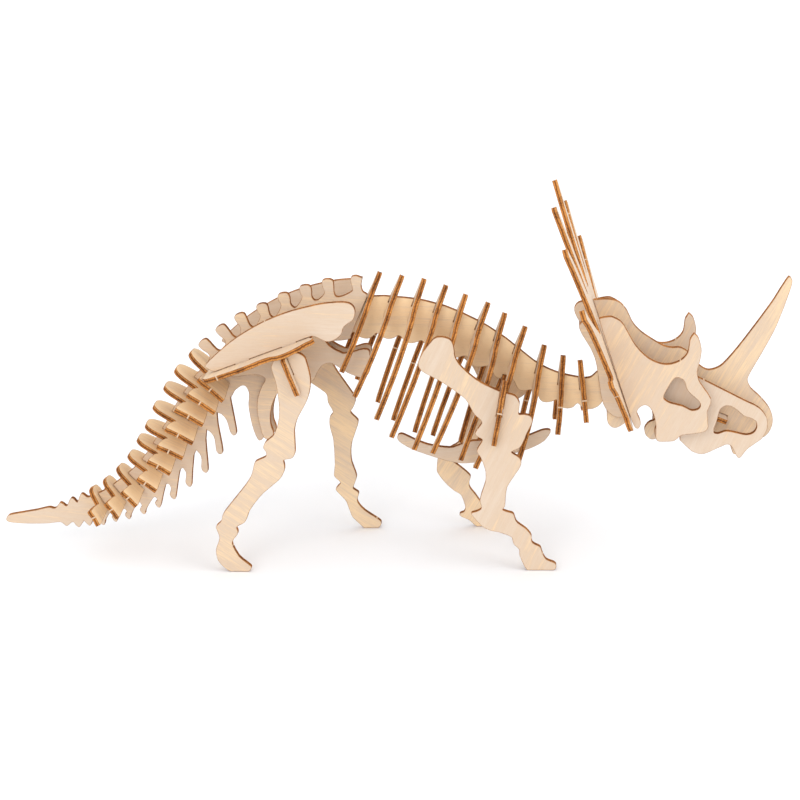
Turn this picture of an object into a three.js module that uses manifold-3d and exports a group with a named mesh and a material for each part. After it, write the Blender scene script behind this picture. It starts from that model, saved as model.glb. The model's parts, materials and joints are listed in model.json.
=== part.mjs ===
// A slot-together horned dinosaur skeleton cut from thin birch plywood.
// Millimetres. +X runs from the tail to the nose, +Z is up, and the near side of the animal faces -Y.
// Every piece is a flat plate: upright plates lie along the animal, cross plates lie across it.
import * as THREE from "three";
import { mergeVertices } from "three/addons/utils/BufferGeometryUtils.js";
import Module from "manifold-3d";

const wasm = await Module();
wasm.setup();

// Plywood and fits
const PLY = 2.5;
const GAP = 0.3;
const PITCH = PLY + GAP;
const SLOT = PLY + 2 * GAP;
const CURVE_STEPS = 2;
const CURVE_ERROR = 0.13;
const DEG = Math.PI / 180;

// Upright plates, by the y of their middle plane
const BODY_Y = 0;
const TAIL_Y = -PITCH;
const PELVIS_NEAR_Y = -2 * PITCH;
const PELVIS_FAR_Y = PITCH;
const HIP_Y = (PELVIS_NEAR_Y + PELVIS_FAR_Y) / 2;
const ILIUM_HALF_SPAN = 21;
const HIND_LEG_HALF_SPAN = 27.1;
const FRONT_LEG_HALF_SPAN = 27.1;
const FAR_BLADE_DROP = 3.4;
const FAR_ILIUM_TRIM = 1.8;
const CHEEK_HALF_SPAN = 17;
const SNOUT_HALF_SPAN = 9.4;

// Hip shelf: a sloping shelf under the two ilium plates
const SHELF_SLOPE = 19.5;
const SHELF_START = [-80.5, 109.2];
const SHELF_TABS = [[14, 22], [40, 48]];
const ILIUM_TABS = [[12, 20], [38, 46]];

// Hip strut: a cross plate square to the shelf
const STRUT_TILT = -18;
const STRUT_FOOT = [-36.7, 99.1];
const STRUT_HEIGHT = 20.6;
const STRUT_HALF_WIDTH = 32.6;
const STRUT_LAP = 10.5;

// Shoulder frame: a cross plate that carries both front legs
const SHOULDER_TILT = 10.9;
const SHOULDER_FOOT = [60.6, 70.5];
const SHOULDER_HEIGHT = 33.9;
const SHOULDER_HALF_WIDTH = 33;
const SHOULDER_LAP = 15;
const PILLAR_LAP = 25.8;

// Frill: a spiked shield that leans back
const FRILL_TILT = -17.4;
const FRILL_ORIGIN = [96.9, 176.7];
const FRILL_LAP = -88.8;

// Cross plates inside the head: height of each lap above the plate's foot
const HEAD_PLATE_LAP = 9;
const JAW_PLATE_LAP = 6;
const SNOUT_BAR_HALF = 5.1;

// Ribs, rear to front: top of the crown, tilt, how far the rib sits skewed in its slot,
// length down the plate, widest half-width, half-gap at the tips
const RIBS = [
  { top: [4.1, 153], tilt: 24.3, skew: 4, length: 52.8, half: 19, tip: 12.5 },
  { top: [15.3, 151], tilt: 24.5, skew: 4.5, length: 65.3, half: 21, tip: 12.5 },
  { top: [26.4, 149], tilt: 21.6, skew: 5, length: 75.4, half: 22.3, tip: 12.5 },
  { top: [37.3, 145.4], tilt: 22.1, skew: 3.5, length: 82.6, half: 22.6, tip: 12.5 },
  { top: [47.1, 140.4], tilt: 20.7, skew: 4, length: 83.9, half: 22.8, tip: 12.5 },
  { top: [58.3, 135.9], tilt: 22.4, skew: 4, length: 82.2, half: 22.8, tip: 12.5 },
  { top: [66.6, 130.2], tilt: 18.7, skew: 3.5, length: 78.5, half: 22.4, tip: 12.5 },
  { top: [76.7, 122.9], tilt: 20.9, skew: 2, length: 76.8, half: 22, tip: 12.5 },
  { top: [86.2, 112.8], tilt: 14.5, skew: 4, length: 59.1, half: 19, tip: 12 },
  { top: [95.7, 107.1], tilt: 6.2, skew: 4, length: 38.6, half: 14, tip: 11 },
  { top: [104.2, 104.4], tilt: -4, skew: 4, length: 30.1, half: 11.5, tip: 9.5 },
];
const RIB_CROWN_HALF = 1.6;
const RIB_ARM = 4.2;
const RIB_WEB = 23.1;
const RIB_LAP = 15.1;

// Tail cross plates, front to back: top of the tongue, backward lean, tongue height, height of a wing's end
const VERTEBRAE = [
  { top: [-96.7, 113.5], lean: 46, tongue: 11, wing: 17 },
  { top: [-105.4, 104.7], lean: 54.2, tongue: 12.4, wing: 17 },
  { top: [-112.2, 95.3], lean: 58.5, tongue: 11.3, wing: 16.5 },
  { top: [-119.1, 84.6], lean: 60, tongue: 11.8, wing: 16.2 },
  { top: [-124.5, 74], lean: 63, tongue: 11.4, wing: 14.8 },
  { top: [-129.7, 66.1], lean: 58.5, tongue: 11, wing: 13.6 },
  { top: [-135.6, 57], lean: 53, tongue: 10.8, wing: 12 },
  { top: [-142.4, 49.6], lean: 41, tongue: 9.2, wing: 11 },
  { top: [-150.4, 42.6], lean: 34, tongue: 8, wing: 10.4 },
  { top: [-158.4, 37.4], lean: 26, tongue: 6.8, wing: 9.4 },
];
const WING_FIRST_HALF = 23;
const WING_STEP = 0.45;
const TONGUE_HALF = 8.8;

// Tongues on top of the tail plate over the hips, back to front: x and z of the tip, backward lean, depth
const SACRAL_SPINES = [
  [-90.6, 119.4, 43, 11],
  [-80.7, 127.3, 37, 11],
  [-69.8, 133.8, 24, 10],
  [-57.6, 139, 15, 9],
  [-46, 144.4, 12, 9],
  [-34.4, 148.3, 8, 9],
  [-22.6, 151.2, 5, 10],
  [-7.6, 152.6, 0, 10.5],
];

// Downward spines under the tail, back to front: tip, then the valley in front of it
const CHEVRONS = [
  [[-154.2, 15.5], [-149.8, 22.5]],
  [[-147, 17.4], [-142.1, 24.8]],
  [[-139.5, 18.9], [-133.5, 28.7]],
  [[-130.9, 21.8], [-124.5, 31.6]],
  [[-122.2, 25.7], [-116.9, 39.3]],
  [[-113.5, 30.5], [-108.2, 48.3]],
  [[-104.2, 37.7], [-99.7, 58]],
  [[-94.8, 45.8], [-92.6, 69.5]],
  [[-86, 56.4], [-85.9, 79.3]],
  [[-77.6, 67], [-77.7, 86.5]],
];

const BIRCH = [0xead2b0, 0xe6cca8, 0xefd9b9, 0xe3c8a2, 0xecd5b4];

// ---------- helpers ----------

// Frame of an upright plate: drawn in x and z, thickness along y.
function uprightFrame(y) {
  const across = new THREE.Vector3(1, 0, 0);
  const up = new THREE.Vector3(0, 0, 1);
  const normal = new THREE.Vector3(0, -1, 0);
  return new THREE.Matrix4().makeBasis(across, up, normal).setPosition(0, y, 0);
}

// Frame of a cross plate: drawn in y and in the direction up the plate, which leans forward by the tilt.
function crossFrame([x, z], tilt, y = 0) {
  const across = new THREE.Vector3(0, 1, 0);
  const up = new THREE.Vector3(Math.sin(tilt * DEG), 0, Math.cos(tilt * DEG));
  const normal = new THREE.Vector3().crossVectors(across, up);
  return new THREE.Matrix4().makeBasis(across, up, normal).setPosition(x, y, z);
}

// A cross plate turned about its own up direction, near side forward, as it sits in a loose slot.
function skewed(frame, angle) {
  return frame.clone().multiply(new THREE.Matrix4().makeRotationY(angle * DEG));
}

// Points of an outline: a pair is a corner, and a list of pairs is a smooth curve from the last point.
function pointsOf(runs) {
  const path = new THREE.Path();
  path.moveTo(...runs[0]);
  for (const run of runs.slice(1)) {
    if (typeof run[0] === "number") path.lineTo(...run);
    else path.splineThru(run.map(([x, y]) => new THREE.Vector2(x, y)));
  }
  return thinned(withoutRepeats(path.getPoints(CURVE_STEPS)));
}

// Drops the points of a curve that lie within the curve error of the line between their neighbours.
function thinned(points) {
  const [a, b] = [points[0], points[points.length - 1]];
  const chord = new THREE.Line3(new THREE.Vector3(a.x, a.y, 0), new THREE.Vector3(b.x, b.y, 0));
  const offset = (p) => {
    const at = new THREE.Vector3(p.x, p.y, 0);
    return chord.closestPointToPoint(at, true, new THREE.Vector3()).distanceTo(at);
  };
  const offsets = points.map(offset);
  const farthest = offsets.indexOf(Math.max(...offsets));
  if (offsets[farthest] < CURVE_ERROR) return [a, b];
  return [...thinned(points.slice(0, farthest + 1)).slice(0, -1), ...thinned(points.slice(farthest))];
}

function withoutRepeats(points) {
  const near = (a, b) => a.distanceTo(b) < 0.02;
  const kept = points.filter((p, i) => i === 0 || !near(p, points[i - 1]));
  while (kept.length > 3 && near(kept[0], kept[kept.length - 1])) kept.pop();
  return kept;
}

// A symmetric outline from its right half, drawn from the top of the middle line to the bottom of it.
function mirroredPoints(runs) {
  const right = pointsOf(runs);
  const left = right.map((p) => new THREE.Vector2(-p.x, p.y)).reverse();
  return withoutRepeats([...right, ...left]);
}

function solidOf(geometry) {
  const bare = geometry.clone();
  bare.deleteAttribute("normal");
  bare.deleteAttribute("uv");
  const merged = mergeVertices(bare, 1e-4);
  return new wasm.Manifold(
    new wasm.Mesh({
      numProp: 3,
      vertProperties: merged.attributes.position.array,
      triVerts: new Uint32Array(merged.index.array),
    }),
  );
}

function geometryOf(solid) {
  const mesh = solid.getMesh();
  const geometry = new THREE.BufferGeometry();
  geometry.setAttribute("position", new THREE.BufferAttribute(mesh.vertProperties, 3));
  geometry.setIndex(new THREE.BufferAttribute(mesh.triVerts, 1));
  const flat = geometry.toNonIndexed();
  flat.computeVertexNormals();
  return flat;
}

// A box in a frame, used as a slot or a mortise.
function box(frame, [u0, u1], [v0, v1], depth) {
  const geometry = new THREE.BoxGeometry(u1 - u0, v1 - v0, depth);
  geometry.translate((u0 + u1) / 2, (v0 + v1) / 2, 0);
  return { geometry, frame };
}

let plateCount = 0;

// One plywood plate: an outline in its frame, with holes and with the boxes cut out of it.
function plate(name, frame, points, { holes = [], cuts = [] } = {}) {
  const outward = THREE.ShapeUtils.isClockWise(points) ? [...points].reverse() : points;
  const shape = new THREE.Shape(outward);
  for (const hole of holes) shape.holes.push(new THREE.Path(hole));
  const board = new THREE.ExtrudeGeometry(shape, { depth: PLY, bevelEnabled: false });
  board.translate(0, 0, -PLY / 2);
  let solid = solidOf(board);
  const toPlate = frame.clone().invert();
  for (const cut of cuts) {
    const placed = cut.geometry.clone().applyMatrix4(cut.frame).applyMatrix4(toPlate);
    solid = solid.subtract(solidOf(placed));
  }
  const color = BIRCH[plateCount % BIRCH.length];
  plateCount += 1;
  const material = new THREE.MeshStandardMaterial({ color, roughness: 0.72, metalness: 0 });
  const mesh = new THREE.Mesh(geometryOf(solid), material);
  mesh.name = name;
  mesh.applyMatrix4(frame);
  return mesh;
}

function group(name, ...meshes) {
  const made = new THREE.Group();
  made.name = name;
  made.add(...meshes);
  return made;
}

// ---------- frames and laps shared by several pieces ----------

const shelfDirection = [Math.cos(SHELF_SLOPE * DEG), Math.sin(SHELF_SLOPE * DEG)];
const shelfDrop = PLY / 2 + GAP;
const shelfFrame = crossFrame(
  [SHELF_START[0] + shelfDrop * shelfDirection[1], SHELF_START[1] - shelfDrop * shelfDirection[0]],
  90 - SHELF_SLOPE,
  HIP_Y,
);
const strutFrame = crossFrame(STRUT_FOOT, STRUT_TILT, HIP_Y);
const shoulderFrame = crossFrame(SHOULDER_FOOT, SHOULDER_TILT, BODY_Y);
const frillFrame = crossFrame(FRILL_ORIGIN, FRILL_TILT, BODY_Y);
const headPlateFrame = crossFrame([137, 88], 0, BODY_Y);
const jawPlateFrame = crossFrame([152.5, 70.5], 0, BODY_Y);
const snoutBarFrame = crossFrame([173, 74.6], -68, BODY_Y);
const ribFrames = RIBS.map(({ top, tilt }) => crossFrame(top, tilt, BODY_Y));
const vertebraFrames = VERTEBRAE.map(({ top, lean }) => crossFrame(top, -lean, TAIL_Y));
const vertebraLap = ({ tongue, wing }) => -(tongue + 0.5 * wing);

// Point on the shelf's slope, from its rear end, and a height square to it.
function onSlope(along, height) {
  const [c, s] = shelfDirection;
  return [SHELF_START[0] + along * c - height * s, SHELF_START[1] + along * s + height * c];
}

// Slots open upwards in an upright plate, one for each cross plate that drops into it.
function ribSlots() {
  return ribFrames.map((frame) => box(frame, [-6, 6], [-RIB_LAP - GAP, 4], SLOT));
}

function vertebraSlots() {
  return VERTEBRAE.map((v, i) => box(vertebraFrames[i], [-6, 6], [vertebraLap(v) - GAP, 0], SLOT));
}

const strutSlotInPelvis = box(strutFrame, [-12, 12], [-12, STRUT_LAP + GAP], SLOT);
const frillSlotInSkull = box(frillFrame, [-8, 8], [FRILL_LAP - GAP, 0], SLOT);

// ---------- tail and body ----------

function sacralRun() {
  const run = [];
  for (const [x, z, lean, depth] of SACRAL_SPINES) {
    const back = [-Math.sin(lean * DEG), Math.cos(lean * DEG)];
    const side = [back[1], -back[0]];
    const at = (across, down) => [
      x + across * side[0] - down * back[0],
      z + across * side[1] - down * back[1],
    ];
    run.push(at(-2.6, depth - 2.5), at(-2.9, 4), at(-2.6, 0.7), at(0, 0), at(2.7, 1));
    run.push(at(3, 4), at(2.6, depth - 2), at(4.6, depth));
  }
  return run.slice(0, -3);
}

function chevronRun() {
  const run = [];
  [...CHEVRONS].reverse().forEach(([[x, z], valley], i, all) => {
    const [backX, backZ] = all[i + 1]?.[1] ?? [-157.6, 20];
    const size = (backZ - z) / 12;
    const shoulder = [backX + (x - backX) * 0.42 + 1.2 * size, backZ + (z - backZ) * 0.3 + 0.6 * size];
    run.push(valley, [x + 1.5, z + 3], [x + 0.5, z + 0.1], [x - 1, z + 0.4], [x - 2.1, z + 2.8], shoulder);
  });
  return run;
}

// Back face of the first rib's plane, where the tail plate ends.
function behindFirstRib(z) {
  const { top, tilt } = RIBS[0];
  return top[0] - (top[1] - z) * Math.tan(tilt * DEG) - (PLY / 2 + GAP + 0.1) / Math.cos(tilt * DEG);
}

function tailSpine() {
  const outline = [
    [-208.5, 18.6],
    [[-207.8, 20.6], [-205.5, 21.9], [-198, 23.1], [-190, 24.6], [-183.8, 26], [-180.8, 25.4]],
    [[-179.1, 26.2], [-177.2, 28.7], [-175.6, 28.2], [-173.7, 26.8], [-172.2, 28.6], [-170.6, 31.4]],
    [[-169, 31], [-167.4, 28.9], [-166.3, 31], [-164.8, 33.8], [-163, 33.4], [-161.1, 31.9]],
    [[-152.2, 35.5], [-144.2, 40.7], [-134.9, 47.8], [-127.1, 55.9], [-120.5, 64.8], [-114.4, 73.6]],
    [[-108.5, 83], [-101.3, 93], [-94, 102.2], [-89, 106.6], ...sacralRun()],
    [-4.4, 151.6],
    [[-5, 149.4], [-5.4, 146.7], [-4.6, 144.1]],
    [behindFirstRib(142.4), 142.4],
    [behindFirstRib(121.5), 121.5],
    [[-12.6, 119.4], [-16.6, 118.5], [-24, 117.4], [-35, 109], [-48, 102.5], [-56, 97.5], [-59.6, 88]],
    [[-60.6, 78], [-60.4, 70], [-61.6, 66.1], [-63, 64.3], [-64.5, 64]],
    [[-66.2, 67.5], [-67.8, 75.2], [-68.4, 84.1], [-67.6, 90.5], [-69.9, 94.8], [-74.5, 92.4], [-77.3, 88.4]],
    [...chevronRun(), [-157.6, 20], [-159.8, 18.4], [-161.6, 15.2], [-163, 15.6], [-164.9, 18]],
    [[-166.6, 15.6], [-168, 14.2], [-169.4, 14.9], [-171.1, 17.2], [-173, 16.1], [-175, 14.9]],
    [[-178.2, 17.2], [-184, 16.6], [-192, 16.4], [-200.5, 16.6], [-207.4, 17.6]],
  ];
  const cuts = [...vertebraSlots(), strutSlotInPelvis];
  return plate("tail_spine", uprightFrame(TAIL_Y), pointsOf(outline), { cuts });
}

// Scalloped underside of the body spine, front to back: a lobe under each rib.
function spineLobes() {
  const lobes = [
    [108.1, 78.3], [97.1, 78.9], [87, 82.4], [75.6, 88.8], [64.1, 95.6], [52.7, 101.9],
    [41.2, 107.4], [29.8, 112], [18.3, 115.5], [6.8, 118], [-5, 118.4],
  ];
  const run = [];
  lobes.forEach(([x, z], i) => {
    const [backX, backZ] = lobes[i + 1] ?? [x - 11.7, z + 1];
    run.push([x + 3.2, z + 0.6], [x, z], [x - 3.2, z + 1.1], [(x + backX) / 2, (z + backZ) / 2 + 3]);
  });
  return run;
}

function bodySpine() {
  const outline = [
    [-40.5, 128],
    [[-39, 130.4], [-28, 134.5], [-14, 138.4], [0.6, 140.9], [13.3, 140.1], [24.9, 138.3], [36.2, 135]],
    [[46, 130.6], [56, 125], [66, 117.9], [74.5, 110.6], [82.3, 103.9], [92, 98.7], [103, 95.7]],
    [[106.6, 95.2], [110.1, 96.1], [113.5, 99.2], [115.6, 98.6]],
    [116, 84],
    [[114.1, 80.8], ...spineLobes(), [-14, 121.4], [-30, 124], [-39, 126]],
  ];
  const shoulderSlot = box(shoulderFrame, [-6, 6], [10, PILLAR_LAP + GAP], SLOT);
  const cuts = [...ribSlots(), shoulderSlot];
  return plate("body_spine", uprightFrame(BODY_Y), pointsOf(outline), { cuts });
}

function vertebra(index) {
  const { tongue, wing } = VERTEBRAE[index];
  const half = WING_FIRST_HALF - WING_STEP * index;
  const size = (tongue + wing) / 28;
  const root = TONGUE_HALF * (0.35 + 0.65 * size);
  const corner = -tongue;
  const bottom = -tongue - wing;
  const outline = [
    [0, 0],
    [[root * 0.4, -0.4 * size], [root * 0.68, -2.4 * size], [root * 0.84, -5.6 * size]],
    [[root, corner - 2.2 * size], [root + 2, corner - 1.8 * size]],
    [[half * 0.7, corner - 0.6], [half - 1, corner - 0.1], [half, corner - 0.9]],
    [[half - 0.5, corner - wing * 0.5], [half, bottom + 0.9]],
    [[half - 0.8, bottom], [half * 0.55, bottom + 0.9 * size], [3.4, bottom + 1.9 * size]],
    [0, bottom + 2 * size],
  ];
  const lap = vertebraLap(VERTEBRAE[index]);
  const cuts = [box(vertebraFrames[index], [-SLOT / 2, SLOT / 2], [bottom - 4, lap], 3 * PLY)];
  const name = "tail_vertebra_" + String(index + 1).padStart(2, "0");
  return plate(name, vertebraFrames[index], mirroredPoints(outline), { cuts });
}

function rib(index) {
  const { length, half, tip } = RIBS[index];
  const web = Math.min(RIB_WEB, length - 5);
  const arch = length - web;
  const arm = RIB_ARM * (0.7 + 0.3 * Math.min(1, arch / 40));
  const inner = half - arm;
  const neck = Math.min(half - 1, 8);
  const outline = [
    [0, 0],
    [RIB_CROWN_HALF - 0.4, 0],
    [[RIB_CROWN_HALF, -0.4], [RIB_CROWN_HALF + 1.1, -3.4], [neck * 0.6, -8.7], [neck, -15.1]],
    [[neck + (half - neck) * 0.5, -19.6], [half - 1.6, -web - arch * 0.16], [half, -web - arch * 0.42]],
    [[half - (half - tip) * 0.3, -web - arch * 0.72], [tip + 2.2, -length + 0.4]],
    [tip - 1.6, -length],
    [[tip - 1.5, -length + 1], [inner - (inner - tip) * 0.3 - 0.6, -web - arch * 0.74]],
    [[inner, -web - arch * 0.45]],
    [[inner - 1.4, -web - arch * 0.22], [inner * 0.68, -web - arch * 0.06], [inner * 0.34, -web], [0, -web]],
  ];
  const seated = skewed(ribFrames[index], RIBS[index].skew);
  const cuts = [box(seated, [-SLOT / 2, SLOT / 2], [-web - 3, -RIB_LAP], 3 * PLY)];
  const name = "rib_" + String(index + 1).padStart(2, "0");
  return plate(name, seated, mirroredPoints(outline), { cuts });
}

// ---------- pelvis ----------

function pelvisPoints() {
  return pointsOf([
    [-76, 102.4],
    [[-74.6, 100.4], [-68, 101.3], [-61, 101.3], [-57.8, 99], [-60.3, 94.6], [-62.6, 88.6], [-63.4, 81.6]],
    [[-62.9, 74.4], [-61.5, 67.6], [-59.4, 65.5], [-56.6, 66.6], [-55.8, 69.4]],
    [[-56.9, 74], [-56.6, 80], [-54.6, 86.6], [-51, 92.2], [-44, 95.6], [-36, 96.4], [-32.4, 98.4]],
    [[-29.6, 103.4], [-27, 106.4], [-22.9, 107.2], [-18, 104.3], [-13.9, 101.5], [-7.8, 99.2], [-4.7, 100.1]],
    [[-3, 103], [-2.6, 108], [-2.6, 112.4], [-3.6, 114.2], [-6.9, 114.4], [-11.5, 112.9], [-16.3, 112.4]],
    [[-20.8, 114.7], [-24.6, 118.2], [-27.4, 124.6], [-32, 127.2], [-40, 126.4], [-54, 121], [-68, 113]],
    [[-74.4, 107.6], [-76.6, 104.4]],
  ]);
}

function pelvisPlate(name, y, side) {
  const reach = side * 20;
  const mortise = ([from, to]) =>
    box(shelfFrame, [Math.min(reach, 0), Math.max(reach, 0)], [from - GAP, to + GAP], SLOT);
  const cuts = [...SHELF_TABS.map(mortise), strutSlotInPelvis];
  return plate(name, uprightFrame(y), pelvisPoints(), { cuts });
}

// The trim shortens the front end.
function ilium(name, side, trim = 0) {
  const tabs = ILIUM_TABS.flatMap(([from, to]) => [
    onSlope(from, 0),
    onSlope(from, -PLY - GAP),
    onSlope(to, -PLY - GAP),
    onSlope(to, 0),
  ]);
  const outline = [
    onSlope(0.6, 0),
    ...tabs,
    onSlope(54, 0),
    [[-28.4, 127.2], [-25.4, 126.2], [-22, 124.4], [-18.3, 124.9], [-14.5, 127.6], [-12.5, 131.9]],
    [
      [-9.6 - trim, 134], [-7.5 - trim, 135.8], [-6.5 - trim, 139.4], [-7.2 - trim, 142.2],
      [-9.8 - trim, 144.2], [-16, 144.6], [-25.2, 143.6], [-39, 140.4],
    ],
    [[-50, 136.5], [-58.3, 132.5], [-67.8, 126.9], [-77.3, 119.7], [-84, 113.6]],
    [[-84.8, 112.2], [-83.6, 111], [-81.6, 109.8]],
  ];
  return plate(name, uprightFrame(HIP_Y + side * ILIUM_HALF_SPAN), pointsOf(outline));
}

// One wing of the shelf. Across is measured from the middle of the hips, along from the shelf's rear end.
function hipShelf(name, side) {
  const inner = PELVIS_FAR_Y + PLY / 2 - HIP_Y;
  const face = inner + GAP;
  const tabEnd = inner - PLY + 0.05;
  const tabs = SHELF_TABS.flatMap(([from, to]) => [[face, from], [tabEnd, from], [tabEnd, to], [face, to]]);
  const outline = [
    [face, -4.6],
    ...tabs,
    [face, 52.4],
    [[12, 52.6], [19, 52.8], [23.2, 53.6], [26, 55.8], [28.4, 54.6]],
    [[29.4, 51.8], [32.6, 47.6], [35.2, 42], [34.4, 36.4], [31.6, 32.4], [30.9, 27], [32.2, 20], [31.8, 10]],
    [[30.8, 2], [29.6, -3], [26.4, -5.4]],
    [20, -5.6],
  ];
  const points = pointsOf(outline).map((p) => new THREE.Vector2(side * p.x, p.y));
  const at = side * ILIUM_HALF_SPAN;
  const sides = [at - SLOT / 2, at + SLOT / 2];
  const mortise = ([from, to]) => box(shelfFrame, sides, [from - GAP, to + GAP], 3 * PLY);
  return plate(name, shelfFrame, points, { cuts: ILIUM_TABS.map(mortise) });
}

function hipStrut() {
  const half = STRUT_HALF_WIDTH;
  const outline = [
    [0, STRUT_HEIGHT - 0.6],
    [half - 1.2, STRUT_HEIGHT - 0.6],
    [[half - 0.3, STRUT_HEIGHT - 1], [half, STRUT_HEIGHT - 2]],
    [half, 1.2],
    [[half - 0.4, 0.3], [half - 1.4, 0], [24, 0]],
    [[20, 1.6], [15, 4.4], [11, 3.2], [8, 1], [4, 0]],
    [0, 0],
  ];
  const stack = PELVIS_FAR_Y + PLY / 2 - HIP_Y + GAP;
  const cuts = [box(strutFrame, [-stack, stack], [STRUT_LAP, STRUT_HEIGHT + 4], 3 * PLY)];
  for (const side of [-1, 1]) {
    const at = side * HIND_LEG_HALF_SPAN;
    cuts.push(box(strutFrame, [at - SLOT / 2, at + SLOT / 2], [-4, STRUT_LAP], 3 * PLY));
  }
  return plate("hip_strut", strutFrame, mirroredPoints(outline), { cuts });
}

// ---------- legs ----------

function hindLeg(name, side, points) {
  const at = side * HIND_LEG_HALF_SPAN;
  const slot = box(strutFrame, [at - 6, at + 6], [STRUT_LAP + GAP - 0.6, STRUT_HEIGHT + 8], SLOT);
  return plate(name, uprightFrame(HIP_Y + at), points, { cuts: [slot] });
}

function hindLegNear() {
  const outline = [
    onSlope(33.4, -PLY - 2 * GAP - 0.4),
    [onSlope(43, -PLY - 2 * GAP - 0.3), onSlope(46.6, -PLY - 2.2), onSlope(48.4, -PLY - 5)],
    [[-31.4, 115], [-30.2, 107], [-31.2, 99.6], [-34, 92.8], [-38.2, 85.7], [-40.2, 79.4], [-40.5, 73]],
    [[-40.7, 67.6], [-42.1, 64.6], [-44.6, 63.5], [-47, 63]],
    [[-46.8, 60], [-47.2, 57], [-50.2, 52.2], [-59.2, 44.6], [-66.1, 36.3], [-68.2, 32.2], [-69.9, 28.6]],
    [[-72, 27.4], [-74.6, 25.6], [-74.2, 23.4], [-74.7, 21.2], [-76.8, 18.6], [-77.7, 15.4], [-74.8, 8.7]],
    [[-71.6, 5.6], [-69.1, 3.2], [-69, 1.4], [-70.4, 0]],
    [-79.4, 0],
    [[-81.2, 0.8], [-83.4, 2.6], [-85.9, 5.8], [-86.8, 9.6], [-86.5, 13.6], [-85, 17], [-84.3, 20.4]],
    [[-85, 23.4], [-85.6, 25.8], [-84.2, 27.6], [-82.4, 29.4], [-81, 33.5], [-76.4, 39.2], [-72.2, 44.2]],
    [[-67.4, 50.2], [-64.4, 55], [-63.2, 59], [-61.9, 62.2], [-59.4, 63.6], [-56.2, 65.2], [-55.7, 67.2]],
    [[-57, 70], [-55.8, 73], [-53.2, 75], [-50.9, 77.4], [-48.6, 82.6], [-47.3, 89.5], [-47.2, 97]],
    [[-48, 105.6], [-49.6, 113.4]],
  ];
  return hindLeg("hind_leg_near", -1, pointsOf(outline));
}

function hindLegFar() {
  const outline = [
    onSlope(33.4, -PLY - 2 * GAP - 0.4),
    [onSlope(43, -PLY - 2 * GAP - 0.3), onSlope(46.6, -PLY - 2.2), onSlope(48.4, -PLY - 5)],
    [[-31.2, 113], [-29.6, 104.6], [-26.6, 95.2], [-21.4, 86], [-16.4, 77.6], [-16.3, 74]],
    [[-17.6, 71], [-19, 68.6], [-17.2, 66], [-15.3, 63.8], [-15.7, 60.8], [-17, 57.4], [-19.3, 51.2]],
    [[-20.3, 45.6], [-20.2, 40], [-19, 35.4], [-18, 31], [-19, 27.4], [-20.3, 24], [-18.8, 22.6]],
    [[-17.4, 21], [-18, 18.6], [-18.4, 16], [-16.2, 12.2], [-13, 9.2], [-9, 6.4], [-6, 3.8]],
    [[-6, 1.8], [-7.8, 0]],
    [-15.4, 0],
    [[-17, 1.4], [-19.4, 4], [-22, 7.2], [-23.2, 11.6], [-24.8, 16.4], [-27.6, 19.8], [-30, 23.2]],
    [[-28.8, 25.2], [-27.2, 27.2], [-28.8, 29.2], [-30.4, 31.6], [-29.9, 35.4], [-29.5, 40], [-29.5, 53]],
    [[-30.4, 57.2], [-31, 61.4], [-30.8, 64], [-30.4, 66.2], [-28.7, 68.6], [-29.6, 71.4], [-31, 74.4]],
    [[-31.6, 79.2], [-36, 83], [-40.6, 87], [-45, 95], [-48, 104], [-49.6, 113.4]],
  ];
  return hindLeg("hind_leg_far", 1, pointsOf(outline));
}

// Shoulder blade and the top of the upper arm, front edge and back edge. The drop lowers the blade's tip.
function bladeFront(drop) {
  return [
    [[34.4, 127.2 - drop], [37.6, 127 - drop], [40.7, 125.6 - drop], [42, 122.4 - 0.6 * drop], [42.6, 116.6]],
    [[45.6, 111.6], [53.6, 104.1], [63.8, 98.6], [68.8, 97], [72, 95.6], [73.9, 92.1]],
    [[73.6, 88.8], [73.4, 86.2]],
  ];
}

function bladeBack(drop) {
  const tip = [[26.6, 119.2 - 0.5 * drop], [31, 124.8 - drop]];
  return [[36, 103.4], [28.4, 107.8], [24.9, 110.8], [24.3, 114], ...tip];
}

function frontLeg(name, side, points) {
  const at = side * FRONT_LEG_HALF_SPAN;
  const slot = box(shoulderFrame, [at - 6, at + 6], [SHOULDER_LAP - GAP, SHOULDER_HEIGHT + 4], SLOT);
  return plate(name, uprightFrame(at), points, { cuts: [slot] });
}

function frontLegNear() {
  const outline = [
    [32.3, 126.2],
    ...bladeFront(0),
    [[76.4, 86], [79.2, 85], [80, 82.4], [78.8, 79], [76.9, 75.5], [75.4, 71.6], [73.4, 68.2], [71, 67]],
    [[69.2, 65.8], [71, 64.4], [73, 62.8], [74, 60.4], [73.3, 57.6], [70, 52.2], [66.6, 46.8]],
    [[65.6, 40.6], [65.2, 36.4], [64, 34.2]],
    [[66.4, 33], [69.2, 32], [70, 29.6], [71.4, 26.8], [75.6, 23.4], [78.2, 19.8], [78.2, 17.4], [79, 15.4]],
    [[81.4, 14], [82.9, 12.8], [83.8, 9.4], [85.6, 6.2], [88, 5], [90.2, 3.8], [90.7, 1.8], [89.6, 0]],
    [76, 0],
    [[74.4, 2], [73.2, 5.4], [72, 8.6], [71.8, 11.8], [69.2, 14.8], [68.6, 17.6], [67.2, 19.4], [61.7, 21.6]],
    [
      [57.4, 22.6], [53.6, 24.6], [50.6, 28], [47.8, 32],
      [50.4, 33.2], [53, 34.8], [52.9, 37.2], [52.5, 39.8],
    ],
    [[54.2, 45], [55.7, 50.4], [55.8, 56], [54.4, 60.4], [53.3, 63.8], [52, 65.6], [52, 67.4], [53.6, 70.4]],
    [[54.8, 72.8], [52.6, 74.2], [51.2, 76.2], [53.2, 79.4], [54.8, 82.2], [52.6, 84.8]],
    [[50.6, 87.4], [47, 94.6]],
    bladeBack(0),
  ];
  return frontLeg("front_leg_near", -1, pointsOf(outline));
}

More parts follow.
